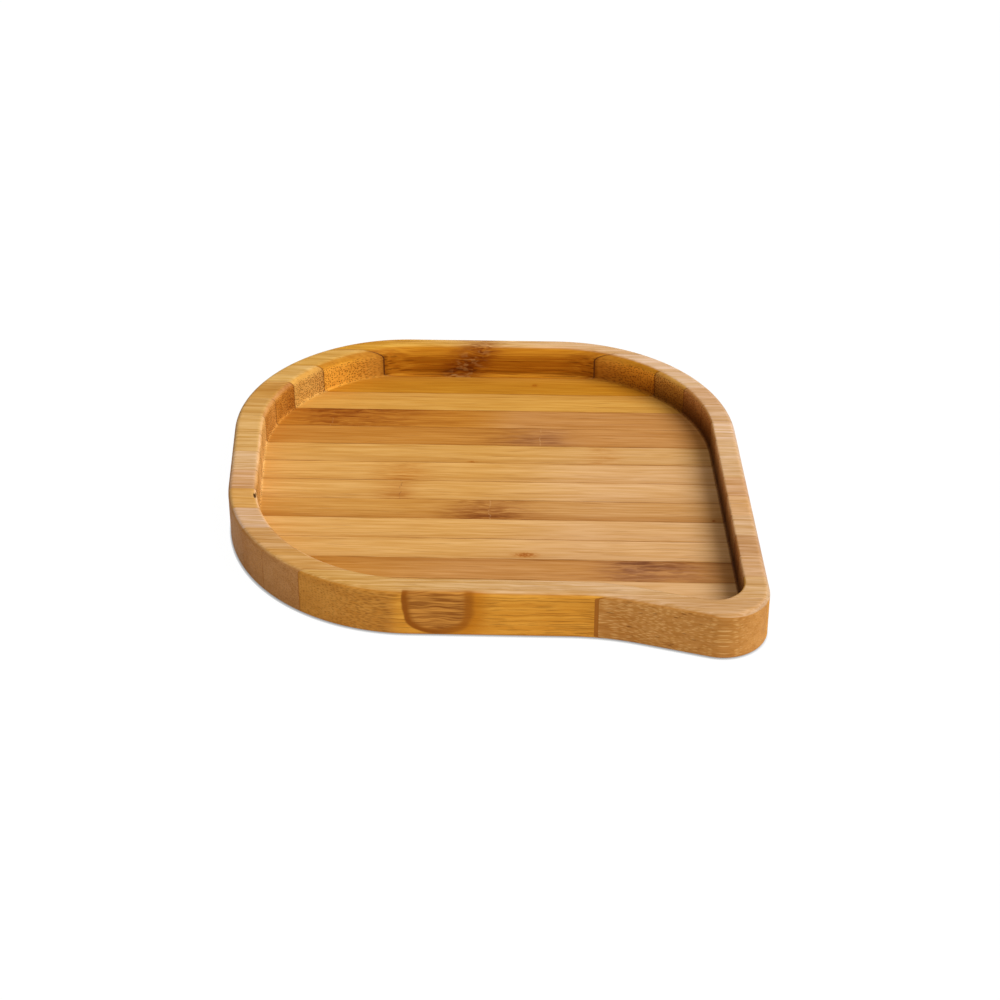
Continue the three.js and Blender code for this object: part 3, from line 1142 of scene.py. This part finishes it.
@dataclass(frozen=True)
class GlueFinish:
    """Cured glue in a joint: almost lost on the sanded rim, and amber to brown where oil darkened it."""

    RUN_SIZE = (24 * MM, 7 * MM, 12 * MM)
    RUN_EDGE = (0.44, 0.66)
    WALL_OIL = (0.1, 0.5)
    OUTER_EDGE = (0.1, 0.6)
    RIM_OIL = (0.0, 0.35)
    ROUGHNESS = (0.2, 0.45)

    bare: int = 0xC79A62
    light: int = 0xBC8038
    dark: int = 0x8A5220
    cut: int = 0x5E3412
    seam: int = 0x9E5F1A
    wall_foot: float = 5.5 * MM
    wall_turn: float = 0.5 * MM
    sheen: float = 0.1

    def material(self) -> bpy.types.Material:
        """Makes the glue's material: dark runs along the joint, darkest on the recess's walls.

        Returns:
            The material that all films share.
        """
        material, g, shader = new_material("cured_glue")
        point = g.split(g.add("ShaderNodeTexCoord").outputs["Object"])
        oil = g.add("ShaderNodeAttribute", attribute_name=OIL).outputs["Fac"]
        outside = g.add("ShaderNodeAttribute", attribute_name=OUTSIDE).outputs["Fac"]
        runs = g.noise(point, self.RUN_SIZE, detail=2.0).outputs[0]
        colour = g.mix(g.ramp(runs, *self.RUN_EDGE), linear(self.light), linear(self.dark))
        above = g.ramp(point[2], self.wall_foot, self.wall_foot + self.wall_turn)
        wall = g.times(above, g.ramp(oil, *self.WALL_OIL))
        colour = g.mix(wall, colour, linear(self.cut))
        outer = g.ramp(outside, *self.OUTER_EDGE)
        colour = g.mix(outer, colour, linear(self.seam))
        covered = g.larger(g.ramp(oil, *self.RIM_OIL), outer)
        colour = g.mix(g.flip(covered), colour, linear(self.bare))
        g.feed(shader.inputs["Base Color"], colour)
        g.feed(shader.inputs["Roughness"], g.scaled(runs, *self.ROUGHNESS))
        shader.inputs["Specular IOR Level"].default_value = self.sheen
        return material


@dataclass(frozen=True)
class Stave:
    """One bamboo strip of the board, cut from the skin between two glue planes."""

    node: str
    slot: str
    finish: BambooFinish = BambooFinish()
    ring: NodeRing = NodeRing()
    knot: Knot = Knot()
    patch: Optional[SkinPatch] = None

    def build(self, cutter: "Board", bamboo: Bamboo, seed: float) -> bpy.types.Object:
        """Cuts and dresses the stave.

        Args:
            cutter: the board that the stave is cut from.
            bamboo: the shared bamboo node group.
            seed: the number behind the stave's grain.

        Returns:
            The finished object, riding on the tray and standing for its solid.
        """
        low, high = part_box(self.node)
        piece = cutter.cut(cutter.skin_mesh, self.node)
        place = ((low.y + high.y) / 2 / MM, (high.y - low.y) / 2 / MM)
        piece.data.materials.append(bamboo.material(f"bamboo_{self.node}", self, place, seed))
        return cutter.seat(piece, self.node)


@dataclass
class Board:
    """The glued board: fifteen staves and the fourteen films of glue between them."""

    skin: TraySkin = field(default_factory=TraySkin)
    glue: GlueFinish = field(default_factory=GlueFinish)
    groove: float = 0.03 * MM
    edge_slack: float = 0.1 * MM
    cut_slack: float = 1e-7
    crease: float = math.radians(30)
    films: int = 14
    staves: tuple[Stave, ...] = (
        Stave("stave_back", "bamboo_amber",
              BambooFinish(Tone.GOLD, 0.4, sanded=0.9, rim_tone=0xEFCFB6, mellow=4.2, banding=0.8,
                           streaks=1.0, hairs=0.6, cell=0.8, face_bundles=0.5, light_bundles=0.5),
              NodeRing(-9.0, 6.0, 6.0, lean=0.7, stain=2.2, warm=0.5, scuff=0.5)),
        Stave("stave_02", "bamboo_gold",
              BambooFinish(Tone.AMBER, -0.4, sanded=0.95, rim_tone=0xE5C4AA, mellow=2.3, side=Side.BACK,
                           cut=5.0),
              knot=Knot(11.9, 60.6, 0.8, 0.7, 1.2)),
        Stave("stave_03", "bamboo_pale",
              BambooFinish(Tone.STRAW, -0.2, -45.0, -15.0, sanded=0.92, rim_tone=0xE5C6AE, mellow=1.6,
                           side=Side.BACK, cut=0.2)),
        Stave("stave_04", "bamboo_brown",
              BambooFinish(Tone.BROWN, 1.9, -22.0, 0.0, sanded=0.9, rim_tone=0xDDB89B, mellow=1.9,
                           side=Side.BACK, banding=0.7),
              NodeRing(-51.0, 12.0, 26.0, stain=1.9, warm=0.6, scar=0.1)),
        Stave("stave_05", "bamboo_brown",
              BambooFinish(Tone.BROWN, 1.2, -12.0, 10.0, sanded=0.9, rim_tone=0xDEBB9E, mellow=1.45,
                           banding=0.7),
              NodeRing(14.3, 16.0, 8.0, stain=0.85, scar=0.2)),
        Stave("stave_06", "bamboo_pale",
              BambooFinish(Tone.WHEAT, 0.8, rim_tone=0xE6C5AC, mellow=1.3, soak=0.9),
              NodeRing(33.5, 5.0, 5.0, stain=0.5, warm=1.0, scar=0.1), Knot(-6.3, 15.7, 1.2, 0.5, 1.0)),
        Stave("stave_07", "bamboo_pale", BambooFinish(Tone.PALE),
              NodeRing(-27.5, 7.0, 7.0, stain=0.8, warm=1.0)),
        Stave("stave_08", "bamboo_pale", BambooFinish(Tone.PALE, 0.9, mellow=0.15),
              NodeRing(-27.4, 6.0, 4.0, stain=0.8, warm=0.8, crack=0.5)),
        Stave("stave_09", "bamboo_brown",
              BambooFinish(Tone.TAN, sanded=0.7, rim_tone=0xDAB08F, mellow=0.0, skin=0.6),
              NodeRing(-0.3, 14.0, 12.0, stain=1.65, warm=0.5, scar=0.2), Knot(65.6, -14.1, 0.5, 0.4, 2.0)),
        Stave("stave_10", "bamboo_pale", BambooFinish(Tone.PALE, 0.8, rim_tone=0xDFB48B, mellow=1.4)),
        Stave("stave_11", "bamboo_gold",
              BambooFinish(Tone.PALE, 0.75, rim_tone=0xDBB692, mellow=-0.3, soak=0.9),
              NodeRing(8.0, 5.0, 5.0, swirl=0.3), Knot(10.6, -32.8, 2.8, 1.0, 2.0)),
        Stave("stave_12", "bamboo_brown",
              BambooFinish(Tone.BROWN, 1.3, -55.0, 10.0, rim_tone=0xD3AA85, mellow=0.65, skin=0.5,
                           side=Side.BACK, soak=0.9),
              NodeRing(42.5, 9.0, 20.0, stain=1.35, scar=0.05)),
        Stave("stave_13", "bamboo_pale", BambooFinish(Tone.PALE, 1.15, rim_tone=0xD7AE8B, mellow=1.35)),
        Stave("stave_14", "bamboo_pale",
              BambooFinish(Tone.STRAW, rim_tone=0xDDB995, mellow=1.3, wall_tone=0xC88A3A,
                           skin_tone=0xE1A03C, skin=1.0, skin_start=0.88, hairs=0.5, soak=0.9,
                           face_bundles=1.4),
              NodeRing(10.0, 45.0, 45.0, swirl=0.45), patch=SkinPatch()),
        Stave("stave_tip", "bamboo_amber",
              BambooFinish(Tone.CARAMEL, rim_tone=0xD4AE88, wall_tone=0xBE8646,
                           side=Side.BACK, cell=0.58, bundles=2.8, end_bundles=0.3, face_bundles=0.9,
                           light_bundles=0.92)),
    )

    def __post_init__(self) -> None:
        """Makes the two skins that pieces are cut from: the milled surface, and the sunken glue's."""
        self.skin_mesh = self.skin.mesh("skin")
        self.sunk_mesh = self.skin.mesh("sunk_skin", self.groove)

    def cut(self, skin: bpy.types.Mesh, node: str) -> bpy.types.Object:
        """Cuts a skin at the front and back planes of a node's box and closes both cuts.

        Args:
            skin: the skin's mesh.
            node: the CAD node whose box gives the two planes.

        Returns:
            A closed object, smooth except at its creases.
        """
        low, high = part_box(node)
        shape = bmesh.new()
        shape.from_mesh(skin)
        for y, facing in ((low.y, -1.0), (high.y, 1.0)):
            if not CAD_BOX[0][1] + self.edge_slack < y < CAD_BOX[1][1] - self.edge_slack:
                continue
            result = bmesh.ops.bisect_plane(
                shape, geom=shape.verts[:] + shape.edges[:] + shape.faces[:], dist=self.cut_slack,
                plane_co=Vector((0, y, 0)), plane_no=Vector((0, facing, 0)), clear_outer=True)
            rim = [e for e in result["geom_cut"] if isinstance(e, bmesh.types.BMEdge)]
            bmesh.ops.edgeloop_fill(shape, edges=rim)
        bmesh.ops.recalc_face_normals(shape, faces=shape.faces[:])
        mesh = bpy.data.meshes.new(node)
        shape.to_mesh(mesh)
        shape.free()
        mesh.shade_smooth()
        mesh.set_sharp_from_angle(angle=self.crease)
        return new_object(f"{node}_piece", mesh)

    def seat(self, piece: bpy.types.Object, node: str) -> bpy.types.Object:
        """Seats a finished piece on the tray in place of its solid.

        Args:
            piece: the dressed object.
            node: the CAD node that it stands for.

        Returns:
            The same object.
        """
        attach(piece, "root")
        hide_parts(node)
        LOG.info("%s: %d faces", piece.name, len(piece.data.polygons))
        return piece

    def build(self) -> None:
        """Builds every stave and every glue film."""
        bamboo = Bamboo()
        for number, stave in enumerate(self.staves):
            stave.build(self, bamboo, float(number))
        cured = self.glue.material()
        for number in range(1, self.films + 1):
            node = f"glue_line_{number:02d}"
            film = self.cut(self.sunk_mesh, node)
            film.data.materials.append(cured)
            self.seat(film, node)
        bpy.data.meshes.remove(self.skin_mesh)
        bpy.data.meshes.remove(self.sunk_mesh)


@dataclass(frozen=True)
class Studio:
    """The pale floor, the soft light from the right and the camera."""

    eye: tuple[float, float, float] = (19.59 * MM, -611.3 * MM, 415.58 * MM)
    tilt: float = math.radians(55.938)
    swing: float = math.radians(1.603)
    lens: float = 88.8
    sensor: float = 36.0
    key_from: tuple[float, float, float] = (0.602, -0.128, 0.788)
    key_level: float = 2.7
    key_tint: tuple[float, float, float] = (0.89, 0.934, 1.0)
    key_spread: float = math.radians(38)
    sky_level: float = 0.5
    sky_tint: tuple[float, float, float] = (1.0, 0.94, 0.85)
    sky_lean: tuple[float, float] = (0.6, -0.8)
    floor_size: float = 6.0
    floor_tone: tuple[float, float, float, float] = (0.8, 0.8, 0.8, 1.0)
    floor_roughness: float = 0.9
    floor_glow: float = 0.96
    glow_level: float = 1.03
    contact_level: float = 0.3
    contact_reach: float = 0.8 * MM
    contact_samples: int = 8
    contact_power: float = 2.0

    def camera(self) -> None:
        """Sets the camera at the viewing angle."""
        data = bpy.data.cameras.new("camera")
        data.lens = self.lens
        data.sensor_width = self.sensor
        eye = new_object("camera", data)
        eye.location = self.eye
        eye.rotation_euler = (self.tilt, 0.0, self.swing)
        bpy.context.scene.camera = eye

    @staticmethod
    def seen_directly(g: Graph) -> Socket:
        """Tells the rays that see the floor or sky from those that only light things.

        Args:
            g: the graph that asks.

        Returns:
            1 for rays from the camera, in a mirror or through glass, and 0 for the rest.
        """
        path = g.add("ShaderNodeLightPath").outputs
        either = g.larger(path["Is Camera Ray"], path["Is Glossy Ray"])
        return g.larger(either, path["Is Transmission Ray"])

    def floor(self) -> None:
        """Lays the floor: white to the eye, with the tray's shadow and its dark line of contact kept."""
        half = self.floor_size / 2
        mesh = bpy.data.meshes.new("floor")
        corners = [(-half, -half, 0), (half, -half, 0), (half, half, 0), (-half, half, 0)]
        mesh.from_pydata(corners, [], [(0, 1, 2, 3)])
        material, g, shader = new_material("floor_white")
        shader.inputs["Base Color"].default_value = self.floor_tone
        shader.inputs["Roughness"].default_value = self.floor_roughness
        shader.inputs["Specular IOR Level"].default_value = 0.0
        nook = g.add("ShaderNodeAmbientOcclusion", samples=self.contact_samples)
        nook.inputs["Distance"].default_value = self.contact_reach
        g.feed(nook.inputs["Normal"], g.join(*self.key_from))
        glow = g.add("ShaderNodeEmission")
        open_sky = g.power(nook.outputs["AO"], self.contact_power)
        lit = g.scaled(open_sky, self.glow_level - self.contact_level, self.contact_level)
        g.feed(glow.inputs["Strength"], lit)
        blend = g.add("ShaderNodeMixShader")
        g.feed(blend.inputs[0], g.times(self.seen_directly(g), self.floor_glow))
        g.feed(blend.inputs[1], shader.outputs[0])
        g.feed(blend.inputs[2], glow.outputs[0])
        g.feed(material.node_tree.nodes["Material Output"].inputs["Surface"], blend.outputs[0])
        mesh.materials.append(material)
        floor = new_object("floor", mesh)

    def light(self) -> None:
        """Sets the broad, cool key light at the right and a warm sky that is brightest at the front."""
        lamp = bpy.data.lights.new("key", "SUN")
        lamp.energy = self.key_level
        lamp.angle = self.key_spread
        lamp.color = self.key_tint
        key = new_object("key", lamp)
        key.rotation_euler = Vector(self.key_from).to_track_quat("Z", "Y").to_euler()
        world = bpy.data.worlds.new("sky")
        world.use_nodes = True
        g = Graph(world.node_tree)
        sky = world.node_tree.nodes["Background"]
        seen = self.seen_directly(g)
        east, north = g.split(g.add("ShaderNodeTexCoord").outputs["Generated"])[:2]
        lean = g.scaled(north, self.sky_lean[1], g.times(east, self.sky_lean[0]))
        level = g.scaled(lean, self.sky_level, self.sky_level)
        g.feed(sky.inputs["Strength"], g.plus(seen, g.times(level, g.flip(seen))))
        g.feed(sky.inputs["Color"], g.mix(seen, (*self.sky_tint, 1.0), (1.0, 1.0, 1.0, 1.0)))
        bpy.context.scene.world = world

    def build(self) -> None:
        """Sets up the view, the floor, the light and plain colour."""
        self.camera()
        self.floor()
        self.light()
        bpy.context.scene.view_settings.view_transform = "Standard"


def main() -> None:
    """Builds the tray and its studio."""
    logging.basicConfig(level=logging.INFO, format="%(name)s %(message)s")
    Studio().build()
    Board().build()


if __name__ == "__main__":
    main()
